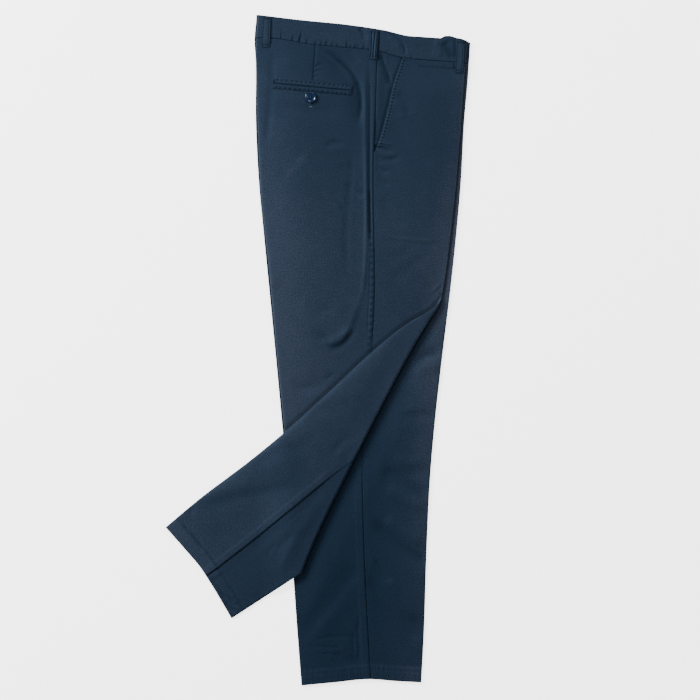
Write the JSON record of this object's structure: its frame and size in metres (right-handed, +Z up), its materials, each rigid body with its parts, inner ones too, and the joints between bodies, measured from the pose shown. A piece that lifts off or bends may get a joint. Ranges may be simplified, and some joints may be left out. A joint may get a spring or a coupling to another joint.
{
  "type": "chino trousers folded flat",
  "caption": "Navy cotton chino trousers laid flat on their side, legs on each other, the upper leg folded across to the back.",
  "frame": {"origin": "middle of the bounding box, at the surface the trousers lie on", "axes": "+Y towards the waist, +X towards the front creases, +Z up away from the surface"},
  "size_m": [0.4996, 1.0996, 0.0111],
  "materials": {
    "twill": "matte navy cotton twill with a faint sheen",
    "button": "polished dark navy resin"
  },
  "bodies": {
    "root": {"right_front_panel": "twill", "right_back_panel": "twill", "left_front_panel": "twill", "left_back_panel": "twill", "right_waistband": "twill", "left_waistband": "twill", "right_pocket_facing": "twill", "back_welt_upper": "twill", "back_welt_lower": "twill", "watch_pocket_welt": "twill", "belt_loop_back": "twill", "belt_loop_side": "twill", "belt_loop_front": "twill", "fly_placket": "twill", "back_pocket_button": "button"}
  },
  "joints": []
}
